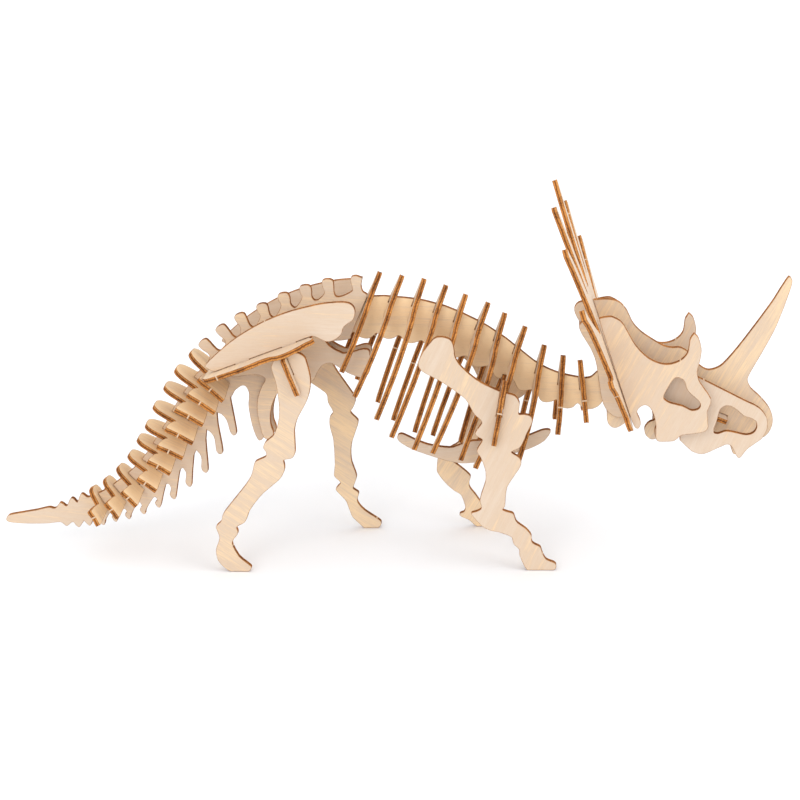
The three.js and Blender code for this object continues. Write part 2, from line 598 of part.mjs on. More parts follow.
function frontLegFar() {
  const outline = [
    [32.3, 126.2 - FAR_BLADE_DROP],
    ...bladeFront(FAR_BLADE_DROP),
    [[76.4, 85.6], [78.4, 83.4], [77.6, 80], [73.6, 76], [67.4, 71.8], [60.4, 66.8], [54.6, 61], [50.6, 54]],
    [[46.8, 48.8], [43.4, 45.2], [38.6, 42.6], [34.2, 39.6]],
    [[38, 36.2], [41.6, 33.2], [44.4, 29.8], [43.6, 26.6], [43.8, 23.4], [46.4, 19.6], [48.6, 16]],
    [[50.4, 13.8], [52.2, 12.2], [53.6, 9.2], [56, 6.6], [59.4, 5], [61.6, 3.6], [61.8, 1.6], [60.6, 0]],
    [46.8, 0],
    [[45, 1.6], [42.8, 3.8], [39.4, 5.4], [37.6, 7], [38.4, 8.2], [40.2, 9], [40.9, 12.2], [38.9, 18.8]],
    [[34.6, 22], [30.6, 26], [27.6, 30.4], [26.2, 33.4], [26.6, 38], [27.2, 41.6]],
    [[30.4, 44.4], [34.6, 47.4], [38.4, 49.8], [41.4, 54.2], [44.2, 61.4], [45.8, 68.6], [48.4, 76]],
    [[50.6, 82], [49.8, 88], [46.6, 94.6]],
    bladeBack(FAR_BLADE_DROP),
  ];
  return frontLeg("front_leg_far", 1, pointsOf(outline));
}

// ---------- shoulders ----------

function shoulderFramePlate() {
  const half = SHOULDER_HALF_WIDTH;
  const armIn = 23.3;
  const outline = [
    [0, 28],
    [3, 28],
    [[3.6, 27.4], [3.8, 24], [4.6, 14], [7, 4], [11, -3.6], [17, -4.6], [21.6, -2], [armIn, 4]],
    [armIn, SHOULDER_HEIGHT - 5],
    [[armIn + 1.2, SHOULDER_HEIGHT - 1.4], [armIn + 4, SHOULDER_HEIGHT], [half - 1.4, SHOULDER_HEIGHT]],
    [[half - 0.4, SHOULDER_HEIGHT - 0.4], [half, SHOULDER_HEIGHT - 1.4]],
    [half, 5.6],
    [half - 0.9, 4.6],
    [half - 0.9, 1],
    [[half - 1.4, 0], [29.6, 0]],
    [29.2, SHOULDER_LAP - 4],
    [25.2, SHOULDER_LAP - 4],
    [[25, 2], [22.4, -8], [16, -13.6], [8, -15.6], [0, -15.8]],
  ];
  const leg = FRONT_LEG_HALF_SPAN;
  const cuts = [
    box(shoulderFrame, [-SLOT / 2, SLOT / 2], [PILLAR_LAP, 34], 3 * PLY),
    box(shoulderFrame, [-SLOT / 2, SLOT / 2], [-20, -12], 3 * PLY),
  ];
  for (const side of [-1, 1]) {
    const sides = [side * leg - SLOT / 2, side * leg + SLOT / 2];
    cuts.push(box(shoulderFrame, sides, [-4, SHOULDER_LAP], 3 * PLY));
  }
  return plate("shoulder_frame", shoulderFrame, mirroredPoints(outline), { cuts });
}

function sternum() {
  const outline = [
    [8.6, 63.4],
    [[9.2, 65.2], [11.6, 65.6], [17, 62.8], [23.8, 59.8], [30, 58.4], [37, 57.8], [41, 59.2], [48, 61.4]],
    [
      [60, 61.4], [70, 61.8], [77, 63.9], [83.4, 66.7],
      [87.2, 67.3], [88.6, 65.9], [85.5, 61.3], [81.1, 58.4],
    ],
    [[75, 55.8], [68.9, 54.1], [56, 50.6], [44.2, 48.8], [36, 49.8], [28, 52.4], [16.4, 56.9], [9.8, 61.2]],
  ];
  const slot = box(shoulderFrame, [-6, 6], [-12 - GAP, 0], SLOT);
  return plate("sternum", uprightFrame(BODY_Y), pointsOf(outline), { cuts: [slot] });
}

// ---------- head ----------

function frillFrontX(z) {
  const [x, top] = FRILL_ORIGIN;
  return x + (top - z) * Math.tan(-FRILL_TILT * DEG) + (PLY / 2 + GAP + 0.1) / Math.cos(FRILL_TILT * DEG);
}

function frill() {
  const outline = [
    [0, -35],
    [[2.4, -34.4], [5, -31], [8.4, -24], [13, -12], [19.6, 0.6], [29.4, 15.2]],
    [33.6, 14.6],
    [[30.2, 4], [25.8, -8], [21, -20], [18.2, -29], [18.6, -33.4], [21.6, -31.4]],
    [[28, -22], [38, -10.6], [50.2, -0.8]],
    [54.2, -3.4],
    [[47.2, -12], [38, -26], [29.4, -39], [23.4, -48.6], [22.2, -52.2], [25.4, -53]],
    [[36, -47], [52, -37.4], [69.6, -25.8]],
    [73, -29.6],
    [[62, -37.4], [52.9, -46.8], [45.1, -57.5], [38, -68], [35.4, -72.4]],
    [[39.6, -72.6], [46.4, -70.6]],
    [48.6, -73.6],
    [[38.5, -81], [32.6, -88.4], [27.5, -95.4], [25, -99.4]],
    [
      [27, -101], [26, -104.2], [22.6, -107.4], [18, -107.4],
      [14.6, -104.8], [10, -102.4], [0, -102],
    ],
  ];
  const stack = PITCH + PLY / 2 + GAP;
  const cuts = [box(frillFrame, [-stack, stack], [-116, FRILL_LAP], 3 * PLY)];
  return plate("frill", frillFrame, mirroredPoints(outline), { cuts });
}

function skullCenter() {
  const outline = [
    [101.8, 130.2],
    [
      [101.6, 132.6], [103, 135], [105.8, 136.2], [112.5, 136.9],
      [119.6, 136.8], [124.4, 135], [127.8, 130.8],
    ],
    [[130.6, 124.6], [134.4, 120], [139.6, 116], [146, 112], [150.2, 110.9], [154.2, 110.9], [157.8, 108.9]],
    [[160.8, 105.4], [163.8, 101.6], [167.3, 99.1], [170.6, 99], [174.9, 101], [179.7, 106.3], [186.2, 115]],
    [[193, 124.8], [199.6, 134.8], [206, 145.8], [207.8, 146.1], [208.5, 144.4]],
    [[207.2, 138.4], [205, 131.6], [200.7, 119.4], [194.2, 106.1], [189.2, 96.6], [188.2, 92.8], [190, 88.5]],
    [[194.2, 84.4], [198.7, 78.9], [201, 73.6], [201, 68.2], [198.5, 63.2], [194, 60.6], [189, 58.6]],
    [[186, 55.6], [183.4, 52.8], [181.6, 53.6], [180.4, 57.4], [178.6, 60.6], [173.5, 61], [167.9, 59.4]],
    [[162, 59.8], [156.8, 63.2], [151, 66.2], [146, 64.4], [142.6, 61.7], [139.6, 61.6], [137.2, 64.2]],
    [[136.8, 67.7], [139, 70.8], [142.2, 72.4], [143.6, 77], [142, 83], [138.6, 86], [134.4, 83.4]],
    [[131.4, 77.4], [128.4, 72.4], [125, 69.2], [121.8, 67.9], [119, 69.2], [117.7, 72.6], [117.6, 78]],
    [[117.4, 86], [117.2, 94], [117.8, 102], [115.4, 109], [111, 115.6], [107, 121], [104.2, 125.2]],
  ];
  const cuts = [
    frillSlotInSkull,
    box(headPlateFrame, [-4, 4], [-12, HEAD_PLATE_LAP + GAP], SLOT),
    box(jawPlateFrame, [-4, 4], [-12, JAW_PLATE_LAP + GAP], SLOT),
    box(snoutBarFrame, [-4, 4], [-SNOUT_BAR_HALF - GAP, SNOUT_BAR_HALF + GAP], SLOT),
  ];
  return plate("skull_center", uprightFrame(BODY_Y), pointsOf(outline), { cuts });
}

function neckPlate(name, y) {
  const outline = [
    [105.6, 126.4],
    [[104, 124.4], [104.2, 122], [106.5, 117.2], [109.5, 112.1], [111.8, 106], [112.8, 100.4], [113.6, 95]],
    [[114.5, 87], [116.2, 81], [119, 76.8], [123.6, 74.6], [128.4, 76.6], [131.6, 83], [132, 92], [129, 103]],
    [[124, 112], [118, 120], [112, 126.6], [108.4, 128]],
  ];
  return plate(name, uprightFrame(y), pointsOf(outline), { cuts: [frillSlotInSkull] });
}

function cheek(name, side) {
  const outline = [
    [frillFrontX(132) + 0.9, 132],
    [[118.4, 133], [121.4, 132.2], [124.7, 129.8], [127.3, 125.6], [129.6, 120.8], [133.3, 115.4]],
    [
      [137.8, 111.1], [143.3, 108.3], [148.4, 107.9], [153.1, 109.6],
      [156.2, 112.6], [157.4, 116], [157.9, 120.6], [159.8, 123.7],
    ],
    [[162, 121.2], [163.5, 115.2], [162.8, 109.4], [161.6, 103.8], [162.6, 99], [165.9, 93.4], [168.6, 89.2]],
    [[168.2, 86], [166.9, 82.6], [167.2, 78.6], [167.4, 74.4], [165.8, 72], [160, 70.8]],
    [[154.8, 70.2], [152.6, 68.8], [150.6, 67.1], [145.6, 66.7], [142.4, 67.2], [141.5, 70], [141.6, 75.5]],
    [[140.6, 80.8], [138.6, 85], [135.9, 86.5], [133, 84.8], [132.2, 82.4], [133.4, 79.4]],
    [[134, 76.6], [132.9, 74], [131.4, 74.4]],
    [frillFrontX(78.4), 78.4],
  ];
  const eye = pointsOf([
    [152.1, 100.9],
    [[155.1, 99.3], [156.8, 94.4], [159.4, 91.4], [162.2, 88.8], [163.5, 86.1], [162.3, 83.9], [159.2, 83.3]],
    [[154.3, 85.8], [149.6, 87], [146, 89], [145.3, 91.3], [147.2, 95.4], [149.6, 99.4], [150.8, 100.7]],
  ]);
  return plate(name, uprightFrame(side * CHEEK_HALF_SPAN), pointsOf(outline), { holes: [eye] });
}

function snout(name, side) {
  const outline = [
    [161.4, 98.9],
    [[171.5, 93.4], [179.1, 89.2], [186.8, 84.9], [191.4, 82.6], [194.6, 80], [197.2, 75.8], [197.6, 70.6]],
    [[195.7, 65.9], [192.6, 62.8], [189.4, 60.6], [186.6, 57.6]],
    [[185, 55.2], [183.8, 54.4], [182.6, 55.6], [181.2, 58.4], [179.6, 61.2], [177.2, 61.8], [173.5, 60]],
    [
      [167.9, 57.4], [164.4, 56.8], [160.2, 58.3], [157.4, 61],
      [154.4, 64], [150.6, 66], [145, 64.9], [142.6, 65.2],
    ],
    [[141.4, 67.6], [141.4, 70.4], [142.6, 73.2], [142.2, 77.6], [140.6, 81.2], [139.2, 84.4]],
    [139.2, 92],
    [[140.8, 98.6], [144.6, 102.2], [150, 103], [156, 101.4]],
  ];
  const nostril = pointsOf([
    [173.2, 78.3],
    [[174.2, 81.2], [176.4, 82.7], [179.4, 82.4], [182.4, 80.4], [185.7, 77.3], [189.4, 76], [191.9, 74]],
    [[192.3, 71], [190.8, 68.2], [187.6, 67], [183, 67.8], [177.5, 69.1], [173.4, 67.8], [171.2, 68.3]],
    [[171, 70.6], [172.2, 74]],
  ]);
  const jawCut = box(jawPlateFrame, [-18, 18], [-8, JAW_PLATE_LAP + GAP], SLOT);
  const frame = uprightFrame(side * SNOUT_HALF_SPAN);
  return plate(name, frame, pointsOf(outline), { holes: [nostril], cuts: [jawCut] });
}

// Cross plate behind the eyes, lapped up into the middle skull plate.
function headCrossPlate() {
  const half = CHEEK_HALF_SPAN - PLY / 2 - GAP;
  const outline = [
    [0, 17.6],
    [[3, 17.2], [8, 14.6], [half - 0.6, 13.4], [half, 12.6]],
    [half, 2],
    [[half - 1.4, 0.6], [4, 0], [0, 0]],
  ];
  const cuts = [box(headPlateFrame, [-SLOT / 2, SLOT / 2], [HEAD_PLATE_LAP, 20], 3 * PLY)];
  return plate("head_crossplate", headPlateFrame, mirroredPoints(outline), { cuts });
}

// Cross plate in the jaw, lapped up into the snout plates and the middle skull plate.
function jawCrossPlate() {
  const half = CHEEK_HALF_SPAN - PLY / 2 - GAP;
  const outline = [
    [0, 11],
    [[5, 11], [10, 11.6], [half - 0.8, 11.2], [half, 10.4]],
    [half, 1.4],
    [[half - 1, 0.4], [7, 0.2], [0, 0.4]],
  ];
  const slots = [-SNOUT_HALF_SPAN, 0, SNOUT_HALF_SPAN];
  const slot = (at) => box(jawPlateFrame, [at - SLOT / 2, at + SLOT / 2], [JAW_PLATE_LAP, 14], 3 * PLY);
  const cuts = slots.map(slot);
  return plate("jaw_crossplate", jawPlateFrame, mirroredPoints(outline), { cuts });
}

// Bar between the snout plates, seen through the nostril.
function snoutBar() {
  const half = SNOUT_HALF_SPAN - PLY / 2 - GAP;
  const end = SNOUT_BAR_HALF;
  const outline = [
    [0, end],
    [half - 0.5, end],
    [half, end - 0.5],
    [half, 0.5 - end],
    [half - 0.5, -end],
    [0, -end],
  ];
  return plate("snout_crossbar", snoutBarFrame, mirroredPoints(outline));
}

// ---------- assembly ----------

const model = new THREE.Group();
model.name = "dinosaur_skeleton";
model.add(
  group("tail", tailSpine(), ...VERTEBRAE.map((_, i) => vertebra(i))),
  group(
    "pelvis",
    pelvisPlate("pelvis_plate_near", PELVIS_NEAR_Y, -1),
    pelvisPlate("pelvis_plate_far", PELVIS_FAR_Y, 1),
    hipShelf("hip_shelf_near", -1),
    hipShelf("hip_shelf_far", 1),
    ilium("ilium_near", -1),
    ilium("ilium_far", 1, FAR_ILIUM_TRIM),
    hipStrut(),
    hindLegNear(),
    hindLegFar(),
  ),
  group("body", bodySpine(), ...RIBS.map((_, i) => rib(i))),
  group("shoulders", shoulderFramePlate(), sternum(), frontLegNear(), frontLegFar()),
  group(
    "head",
    skullCenter(),
    neckPlate("neck_plate_near", -PITCH),
    neckPlate("neck_plate_far", PITCH),
    frill(),
    cheek("cheek_near", -1),
    cheek("cheek_far", 1),
    snout("snout_near", -1),
    snout("snout_far", 1),
    headCrossPlate(),
    jawCrossPlate(),
    snoutBar(),
  ),
);

export default model;
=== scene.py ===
"""Looks for the slot-together dinosaur skeleton.

Every packed plate is rebuilt as a laser-cut sheet of birch plywood: smooth outlines, a scorched rim on both
faces, burnt edges with a recessed core ply, and the pale marks of the tabs that held it in its sheet.
"""
import json
import math
import random

import bpy
import numpy as np
from mathutils import Matrix, Vector
from mathutils.geometry import tessellate_polygon


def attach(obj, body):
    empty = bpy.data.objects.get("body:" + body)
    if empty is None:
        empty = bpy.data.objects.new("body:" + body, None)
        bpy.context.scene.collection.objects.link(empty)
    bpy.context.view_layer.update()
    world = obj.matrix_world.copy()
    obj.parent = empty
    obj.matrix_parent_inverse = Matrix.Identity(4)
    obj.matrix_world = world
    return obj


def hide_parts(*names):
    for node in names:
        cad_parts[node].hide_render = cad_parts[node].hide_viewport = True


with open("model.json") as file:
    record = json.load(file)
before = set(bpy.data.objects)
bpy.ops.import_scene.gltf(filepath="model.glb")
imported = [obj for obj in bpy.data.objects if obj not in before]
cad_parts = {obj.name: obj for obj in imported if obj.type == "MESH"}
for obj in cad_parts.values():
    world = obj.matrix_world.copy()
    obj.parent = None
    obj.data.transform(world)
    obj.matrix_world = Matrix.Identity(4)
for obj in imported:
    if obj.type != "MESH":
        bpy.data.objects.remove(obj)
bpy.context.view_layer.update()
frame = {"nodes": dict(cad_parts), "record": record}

MM = 0.001

# Laser-cut plate, in millimetres
RIM_BEVEL = 0.09
SCORCH_WIDTH = 0.5
GLUE_LINE = 0.45
CORE_LINE = 0.36
CORE_RECESS = 0.06
TAB_HALF = 0.3
TAB_RAMP = 0.14
TAB_NUB = 0.07

# Reading a plate's outline from its CAD solid, in millimetres apart from the first
FACE_NORMAL_MATCH = 0.999
FACE_LEVEL_TOLERANCE = 0.02
CLOSEST_POINTS = 0.01
STRAIGHT_TOLERANCE = 0.002

# Smoothing of the outlines: turns in degrees, lengths in millimetres
SQUARE_TOLERANCE = 1.5
SLOT_MOUTH_TURN = 25
SHARPEST_CURVE = 100
DEGREES_PER_STEP = 11
SHORTEST_CURVE = 0.3
MOST_BULGE = 0.17
MOST_STEPS = 6
LEAST_BEND = 2
LEAST_MITRE = 0.45
SHADING_ANGLE = math.radians(32)

# Camera: where it looks from, in metres and degrees
CAMERA_TURN = 6.59
CAMERA_RISE = 19.99
CAMERA_ROLL = -2.97
CAMERA_DISTANCE = 0.8159
CAMERA_TARGET = Vector((0.01094, 0, 0.08419))
CAMERA_LENS = 70.6
CAMERA_SENSOR = 36

# Floor, in metres
FLOOR_REACH = 9.0
FLOOR_LEVEL = -0.0002

# Marks of the break-off tabs on each kind of plate, as shares of the width and height of its box
TAB_PLACES = {
    "tail_vertebra": [(0, 0.31), (1, 0.31), (0.5, 1)],
    "rib": [(0.105, 0.38), (0.895, 0.38)],
    "hip_shelf": [(0, 0.13), (1, 0.13)],
    "hip_strut": [],
    "shoulder_frame": [(0, 0.68), (1, 0.68)],
    "frill": [(0.24, 0.87), (0.76, 0.87), (0.17, 0.66), (0.83, 0.66), (0.24, 0.2), (0.76, 0.2)],
}
TAB_SHARES = (0.13, 0.46, 0.79)

# Burn of the cut edges, and tone of the sheet with painted warm bounce light, for the kinds that differ from
# the rest
EDGE_BURN = {"rib": 0.42, "frill": 0.12, "tail_vertebra": 0.45, "hip_shelf": 0.4, "hip_strut": 0.3}
# The warm, deep tones of the body spine and the tail vertebrae are painted bounce light for the shade between
# ribs and spines
SHEET_TONE_AND_BOUNCE = {"tail_vertebra": 0.78, "frill": 0.3, "body_spine": 0.85, "snout": 0.3, "ilium": 0.32}
USUAL_BURN, BURN_SPREAD = 0.55, 0.12
USUAL_TONE, TONE_SPREAD = 0.42, 0.14

# Angle of the face grain in a plate's own plane and how far it strays, in degrees, by the start of its name
GRAIN_ANGLES = {
    ("rib", "tail_vertebra", "frill", "shoulder_frame"): (90, 4),
    ("cheek", "snout", "skull", "front_leg"): (62, 5),
    ("hind_leg",): (-35, 5),
}
USUAL_GRAIN = (0, 8)
GRAIN_SHIFT = 900


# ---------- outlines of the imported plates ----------


def kind_of(name, table, fallback):
    """The value of the first key of the table, a start or several, that the node's name starts with."""
    return next((value for key, value in table.items() if name.startswith(key)), fallback)


def triangle_corners(mesh):
    """Triangles of a mesh, as an array of triangles by corners by coordinates, in millimetres."""
    mesh.calc_loop_triangles()
    points = np.array([v.co for v in mesh.vertices], float) / MM
    return points[np.array([t.vertices for t in mesh.loop_triangles])]


def plate_frame(corners):
    """Axes across the plate, up the plate and through it, from the faces that hold most of its area."""
    crosses = np.cross(corners[:, 1] - corners[:, 0], corners[:, 2] - corners[:, 0])
    areas = np.linalg.norm(crosses, axis=1)
    normals = crosses / np.maximum(areas, 1e-12)[:, None]
    spread = (normals * areas[:, None]).T @ normals
    through = np.linalg.eigh(spread)[1][:, -1]
    flat = np.abs(normals @ through) > FACE_NORMAL_MATCH
    signs = np.sign(normals[flat] @ through)
    through = (normals[flat] * (areas[flat] * signs)[:, None]).sum(0)
    through /= np.linalg.norm(through)
    guide = np.array([1.0, 0, 0]) if abs(through[1]) > 0.9 else np.array([0, 1.0, 0])
    across = guide - through * (guide @ through)
    across /= np.linalg.norm(across)
    up = np.cross(through, across)
    return (across, up, through) if up[2] > 0 else (across, -up, -through)


def boundary_loops(corners, axes):
    """Outline loops of the plate's upper face, with the wood on their left, and the levels of both faces."""
    local = corners @ np.array(axes).T
    top, bottom = local[:, :, 2].max(), local[:, :, 2].min()
    upper = local[(local[:, :, 2] > top - FACE_LEVEL_TOLERANCE).all(axis=1)]
    edges = set()
    places = {}
    for triangle in upper:
        keys = [(round(p[0], 3), round(p[1], 3)) for p in triangle]
        for key, point in zip(keys, triangle):
            places.setdefault(key, point[:2])
        for a, b in zip(keys, keys[1:] + keys[:1]):
            if a == b:
                continue
            if (b, a) in edges:
                edges.remove((b, a))
            else:
                edges.add((a, b))
    following = {}
    for a, b in sorted(edges):
        following.setdefault(a, []).append(b)
    loops = []
    while following:
        start = min(following)
        key, loop = start, []
        while key in following:
            loop.append(places[key])
            ends = following[key]
            after = ends.pop(0)
            if not ends:
                del following[key]
            key = after
        if len(loop) > 2:
            loops.append(np.array(loop))
    loops.sort(key=lambda points: -abs(signed_area(points)))
    return loops, top, bottom


def signed_area(points):
    """Area inside an outline, positive where it runs anticlockwise."""
    x, y = points[:, 0], points[:, 1]
    return 0.5 * float(np.sum(x * np.roll(y, -1) - np.roll(x, -1) * y))


def without_straights(points):
    """Drops points that nearly meet the one before, or that lie in line with their neighbours."""
    kept = [p for p, q in zip(points, np.roll(points, 1, axis=0)) if np.linalg.norm(p - q) > CLOSEST_POINTS]
    points = np.array(kept)
    before = points - np.roll(points, 1, axis=0)
    after = np.roll(points, -1, axis=0) - points
    area = np.abs(before[:, 0] * after[:, 1] - before[:, 1] * after[:, 0])
    reach = np.linalg.norm(before, axis=1) + np.linalg.norm(after, axis=1)
    return points[area / reach > STRAIGHT_TOLERANCE]


def turns_of(points):
    """Turn of the outline at each point, in degrees."""
    before = points - np.roll(points, 1, axis=0)
    after = np.roll(points, -1, axis=0) - points
    turned = np.arctan2(before[:, 0] * after[:, 1] - before[:, 1] * after[:, 0], (before * after).sum(axis=1))
    return np.degrees(turned)


def corners_of(points):
    """True at each point that stays a corner: square corners of slots and tabs, and mouths of slots."""
    turns = np.abs(turns_of(points))
    square = np.abs(turns - 90) < SQUARE_TOLERANCE
    beside = np.roll(square, 1) | np.roll(square, -1)
    return square | (beside & (turns > SLOT_MOUTH_TURN)) | (turns > SHARPEST_CURVE)


def spline_point(p0, p1, p2, p3, share):
    """Point of a centripetal Catmull-Rom curve between p1 and p2."""
    t1 = max(np.linalg.norm(p1 - p0), 1e-6) ** 0.5
    t2 = t1 + max(np.linalg.norm(p2 - p1), 1e-6) ** 0.5
    t3 = t2 + max(np.linalg.norm(p3 - p2), 1e-6) ** 0.5
    t = t1 + (t2 - t1) * share
    a1 = p0 + (p1 - p0) * (t / t1)
    a2 = p1 + (p2 - p1) * ((t - t1) / (t2 - t1))
    a3 = p2 + (p3 - p2) * ((t - t2) / (t3 - t2))
    b1 = a1 + (a2 - a1) * (t / t2)
    b2 = a2 + (a3 - a2) * ((t - t1) / (t3 - t1))
    return b1 + (b2 - b1) * ((t - t1) / (t2 - t1))


def drawn_in(curve, start, end):
    """The curve between two points, flattened where it would stray too far from the straight line."""
    along = (end - start) / np.linalg.norm(end - start)
    feet = [start + along * np.dot(point - start, along) for point in curve]
    stray = max(np.linalg.norm(point - foot) for point, foot in zip(curve, feet))
    share = min(1, MOST_BULGE / max(stray, 1e-9))
    return [foot + (point - foot) * share for point, foot in zip(curve, feet)]


def smoothed(points):
    """The outline with its curves made round between its corners, kept inside its own box."""
    points = without_straights(points)
    sharp = corners_of(points)
    turns = np.abs(turns_of(points))
    low, high = points.min(axis=0), points.max(axis=0)
    count = len(points)
    made = []
    for i in range(count):
        j = (i + 1) % count
        p1, p2 = points[i], points[j]
        made.append(p1)
        bend = max(0 if sharp[i] else turns[i], 0 if sharp[j] else turns[j])
        if bend < LEAST_BEND or np.linalg.norm(p2 - p1) < SHORTEST_CURVE:
            continue
        p0 = 2 * p1 - p2 if sharp[i] else points[i - 1]
        p3 = 2 * p2 - p1 if sharp[j] else points[(j + 1) % count]
        steps = min(MOST_STEPS, max(2, math.ceil(bend / DEGREES_PER_STEP)))
        made += drawn_in([spline_point(p0, p1, p2, p3, k / steps) for k in range(1, steps)], p1, p2)
    return np.clip(np.array(made), low, high)


# ---------- break-off tabs ----------


def arc_lengths(points):
    """Length along the outline up to each point, and at the end its whole length."""
    steps = np.linalg.norm(np.roll(points, -1, axis=0) - points, axis=1)
    return np.concatenate([[0], np.cumsum(steps)])


def tab_arcs(name, points):
    """Arc lengths along the outline at which this plate carries tab marks."""
    lengths = arc_lengths(points)
    places = kind_of(name, TAB_PLACES, None)
    if places is None:
        return [share * lengths[-1] for share in TAB_SHARES]
    low, high = points.min(axis=0), points.max(axis=0)
    arcs = []
    for share in places:
        wanted = low + (high - low) * np.array(share)
        middles = (points + np.roll(points, -1, axis=0)) / 2
        nearest = int(np.argmin(np.linalg.norm(middles - wanted, axis=1)))
        start, end = points[nearest], points[(nearest + 1) % len(points)]
        share_along = np.dot(wanted - start, end - start) / max(np.dot(end - start, end - start), 1e-9)
        along = np.clip(share_along, 0.1, 0.9)
        arcs.append(lengths[nearest] + along * (lengths[nearest + 1] - lengths[nearest]))
    return arcs


def with_tabs(points, arcs):
    """The outline with points added at each tab, and how much each point belongs to a tab."""
    lengths = arc_lengths(points)
    total = lengths[-1]
    outer = TAB_HALF + TAB_RAMP
    stops = sorted(((arc + d) % total) for arc in arcs for d in (-outer, -TAB_HALF, TAB_HALF, outer))
    made = []
    for i, point in enumerate(points):
        made.append((lengths[i], point))
        following = points[(i + 1) % len(points)]
        reach = lengths[i + 1] - lengths[i]
        for stop in stops:
            if lengths[i] + 2 * CLOSEST_POINTS < stop < lengths[i + 1] - 2 * CLOSEST_POINTS:
                made.append((stop, point + (following - point) * ((stop - lengths[i]) / reach)))
    marks = []
    for at, _ in made:
        gap = min((min(abs(at - arc), total - abs(at - arc)) for arc in arcs), default=total)
        marks.append(float(np.clip((outer - gap) / TAB_RAMP, 0, 1)))
    return np.array([p for _, p in made]), np.array(marks)


# ---------- plates ----------


def inset(points, distance):
    """The outline moved into the wood by a distance, which may differ from point to point."""
    before = points - np.roll(points, 1, axis=0)
    after = np.roll(points, -1, axis=0) - points
    before /= np.maximum(np.linalg.norm(before, axis=1), 1e-9)[:, None]
    after /= np.maximum(np.linalg.norm(after, axis=1), 1e-9)[:, None]
    left_before = np.stack([-before[:, 1], before[:, 0]], axis=1)
    left_after = np.stack([-after[:, 1], after[:, 0]], axis=1)
    facing = 1 + (left_before * left_after).sum(axis=1)
    mitre = (left_before + left_after) / np.maximum(facing, LEAST_MITRE)[:, None]
    return points + mitre * np.broadcast_to(distance, len(points))[:, None]


def rings_of(points, tabs, half):
    """Rings of one outline from the upper face over the edge to the lower face: place, level and scorch."""
    bare = inset(points, SCORCH_WIDTH)
    rim = inset(points, RIM_BEVEL)
    edge = inset(points, -TAB_NUB * tabs)
    core = inset(points, CORE_RECESS * (1 - tabs) - TAB_NUB * tabs)
    upper = [(bare, half, 0.0), (rim, half, 1.0), (edge, half - RIM_BEVEL, 1.0)]
    middle = [
        (edge, GLUE_LINE, 1.0), (core, CORE_LINE, 1.0),
        (core, -CORE_LINE, 1.0), (edge, -GLUE_LINE, 1.0),
    ]
    lower = [(ring, -level, scorch) for ring, level, scorch in reversed(upper)]
    return upper + middle + lower


class PlateMesh:
    """Vertices, faces and attributes of one plate while it is being built, in its own plane."""

    def __init__(self):
        self.places, self.scorch, self.tab = [], [], []
        self.faces, self.slots = [], []

    def add_ring(self, points, level, scorch, tabs):
        """Adds one ring of vertices and returns the first."""
        start = len(self.places)
        self.places += [(x, y, level) for x, y in points]
        self.scorch += [scorch] * len(points)
        self.tab += list(tabs)
        return start

    def add_loop(self, points, tabs, half):
        """Adds the edge of one outline and returns the first vertices of its innermost rings."""
        count = len(points)
        rings = rings_of(points, tabs, half)
        starts = [self.add_ring(ring, level, scorch, tabs) for ring, level, scorch in rings]
        last = len(starts) - 2
        for n, (upper, lower) in enumerate(zip(starts, starts[1:])):
            for k in range(count):
                j = (k + 1) % count
                self.faces.append((upper + k, lower + k, lower + j, upper + j))
                self.slots.append(0 if n in (0, last) else 1)
        return starts[0], starts[-1]

    def add_faces(self, loops, starts):
        """Fills the upper and the lower face between the innermost rings of all outlines."""
        flat = [[Vector((x, y, 0)) for x, y in points] for points in loops]
        index = [
            (first + k, last + k)
            for (first, last), points in zip(starts, loops)
            for k in range(len(points))
        ]
        for a, b, c in tessellate_polygon(flat):
            pa, pb, pc = (self.places[index[i][0]] for i in (a, b, c))
            turn = (pb[0] - pa[0]) * (pc[1] - pa[1]) - (pb[1] - pa[1]) * (pc[0] - pa[0])
            if abs(turn) < 1e-9:
                continue
            if turn < 0:
                b, c = c, b
            self.faces.append(tuple(index[i][0] for i in (a, b, c)))
            self.faces.append(tuple(index[i][1] for i in (a, c, b)))
            self.slots += [0, 0]


def grain_direction(name, chance):
    """Angle of the face grain in the plate's plane, in degrees: along the long way of most plates."""
    angle, stray = kind_of(name, GRAIN_ANGLES, USUAL_GRAIN)
    return angle + chance.uniform(-stray, stray)


def add_attributes(mesh, built, name):
    """Stores place along and across the grain, scorch, tab, tone with painted warm bounce light, and burn for
    the materials to read.
    """
    chance = random.Random(name)
    angle = math.radians(grain_direction(name, chance))
    shift = (chance.uniform(-GRAIN_SHIFT, GRAIN_SHIFT), chance.uniform(-GRAIN_SHIFT, GRAIN_SHIFT))
    places = np.array(built.places)
    along = places[:, 0] * math.cos(angle) + places[:, 1] * math.sin(angle) + shift[0]
    across = places[:, 1] * math.cos(angle) - places[:, 0] * math.sin(angle) + shift[1]
    grain = np.stack([along, across, places[:, 2]], axis=1).astype(np.float32)
    mesh.attributes.new("grain", "FLOAT_VECTOR", "POINT").data.foreach_set("vector", grain.ravel())
    # Tone of the sheet; on the body spine and tail vertebrae it is painted warm bounce light for their shade
    tone_and_bounce = kind_of(name, SHEET_TONE_AND_BOUNCE, USUAL_TONE) + chance.uniform(-TONE_SPREAD, TONE_SPREAD)
    burn = kind_of(name, EDGE_BURN, USUAL_BURN) + chance.uniform(-BURN_SPREAD, BURN_SPREAD)
    count = len(built.places)
    values = {"scorch": built.scorch, "tab": built.tab, "tone_and_bounce": [tone_and_bounce] * count, "burn": [burn] * count}
    for key, numbers in values.items():
        layer = mesh.attributes.new(key, "FLOAT", "POINT")
        layer.data.foreach_set("value", np.array(numbers, np.float32))


